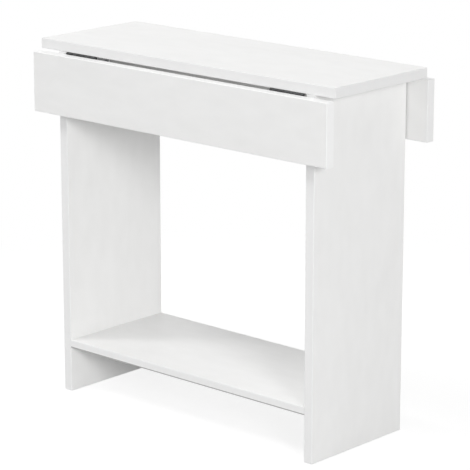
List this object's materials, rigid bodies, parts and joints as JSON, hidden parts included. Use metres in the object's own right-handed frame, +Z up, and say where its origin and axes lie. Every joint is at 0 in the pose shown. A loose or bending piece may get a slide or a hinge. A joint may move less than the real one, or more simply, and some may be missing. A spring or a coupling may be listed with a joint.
{
  "type": "flip-top side table",
  "caption": "Narrow white side table with a fixed top, drop leaves front and back that flip up level on hinges and slotted stays, side panels as legs and a low shelf.",
  "frame": {"origin": "on the floor, below the middle of the top, with the leaves hanging", "axes": "+X along the table towards its right end, +Y towards the back leaf, +Z up"},
  "size_m": [0.6, 0.246, 0.57],
  "materials": {
    "white_laminate": "white melamine-faced board with white edge band, satin",
    "zinc_steel": "bright zinc plated",
    "dark_steel": "black lacquered steel, satin",
    "beech_dowel": "plain fluted beech",
    "soft_pad": "soft white pad"
  },
  "bodies": {
    "table_frame": {"back_left_hinge_fixed_flap": "dark_steel", "back_left_hinge_pin": "dark_steel", "back_left_stay_stud_plate": "zinc_steel", "back_right_hinge_fixed_flap": "dark_steel", "back_right_hinge_pin": "dark_steel", "back_right_stay_stud_plate": "zinc_steel", "front_left_hinge_fixed_flap": "dark_steel", "front_left_hinge_pin": "dark_steel", "front_left_stay_stud_plate": "zinc_steel", "front_right_hinge_fixed_flap": "dark_steel", "front_right_hinge_pin": "dark_steel", "front_right_stay_stud_plate": "zinc_steel", "hinge_top_screws": "zinc_steel", "left_side_panel": "white_laminate", "lower_shelf": "white_laminate", "panel_cam_bolts": "zinc_steel", "panel_cam_locks": "zinc_steel", "panel_dowels": "beech_dowel", "right_side_panel": "white_laminate", "shelf_cam_bolts": "zinc_steel", "shelf_cam_locks": "zinc_steel", "shelf_dowels": "beech_dowel", "stay_plate_screws": "zinc_steel", "stay_studs": "zinc_steel", "stretcher_cam_bolts": "zinc_steel", "stretcher_cam_locks": "zinc_steel", "stretcher_dowels": "beech_dowel", "stretcher_rail": "white_laminate", "table_top": "white_laminate"},
    "front_leaf": {"front_leaf_board": "white_laminate", "front_leaf_bracket_screws": "zinc_steel", "front_leaf_bumper_pads": "soft_pad", "front_leaf_hinge_screws": "zinc_steel", "front_leaf_stay_rivets": "zinc_steel", "front_left_hinge_leaf_flap": "dark_steel", "front_left_stay_bracket": "zinc_steel", "front_right_hinge_leaf_flap": "dark_steel", "front_right_stay_bracket": "zinc_steel"},
    "back_leaf": {"back_leaf_board": "white_laminate", "back_leaf_bracket_screws": "zinc_steel", "back_leaf_bumper_pads": "soft_pad", "back_leaf_hinge_screws": "zinc_steel", "back_leaf_stay_rivets": "zinc_steel", "back_left_hinge_leaf_flap": "dark_steel", "back_left_stay_bracket": "zinc_steel", "back_right_hinge_leaf_flap": "dark_steel", "back_right_stay_bracket": "zinc_steel"},
    "front_left_stay": {"front_left_stay_arm": "zinc_steel"},
    "front_right_stay": {"front_right_stay_arm": "zinc_steel"},
    "back_left_stay": {"back_left_stay_arm": "zinc_steel"},
    "back_right_stay": {"back_right_stay_arm": "zinc_steel"}
  },
  "joints": [
    {"name": "front_leaf_hinge", "type": "hinge", "parent": "table_frame", "child": "front_leaf", "pos_m": [0, -0.105, 0.552], "axis": [-1, 0, 0], "range_deg": [0, 90]},
    {"name": "front_left_stay_pivot", "type": "hinge", "parent": "front_leaf", "child": "front_left_stay", "pos_m": [-0.2432, -0.09666, 0.50473], "axis": [1, 0, 0], "range_deg": [0, 45]},
    {"name": "front_right_stay_pivot", "type": "hinge", "parent": "front_leaf", "child": "front_right_stay", "pos_m": [0.2432, -0.09666, 0.50473], "axis": [1, 0, 0], "range_deg": [0, 45]},
    {"name": "back_leaf_hinge", "type": "hinge", "parent": "table_frame", "child": "back_leaf", "pos_m": [0, 0.105, 0.552], "axis": [1, 0, 0], "range_deg": [0, 90]},
    {"name": "back_left_stay_pivot", "type": "hinge", "parent": "back_leaf", "child": "back_left_stay", "pos_m": [-0.2432, 0.09666, 0.50473], "axis": [-1, 0, 0], "range_deg": [0, 45]},
    {"name": "back_right_stay_pivot", "type": "hinge", "parent": "back_leaf", "child": "back_right_stay", "pos_m": [0.2432, 0.09666, 0.50473], "axis": [-1, 0, 0], "range_deg": [0, 45]}
  ],
  "couplings": [
    {"joint": "front_left_stay_pivot", "follows": "front_leaf_hinge", "ratio": 0.5},
    {"joint": "front_right_stay_pivot", "follows": "front_leaf_hinge", "ratio": 0.5},
    {"joint": "back_left_stay_pivot", "follows": "back_leaf_hinge", "ratio": 0.5},
    {"joint": "back_right_stay_pivot", "follows": "back_leaf_hinge", "ratio": 0.5}
  ]
}
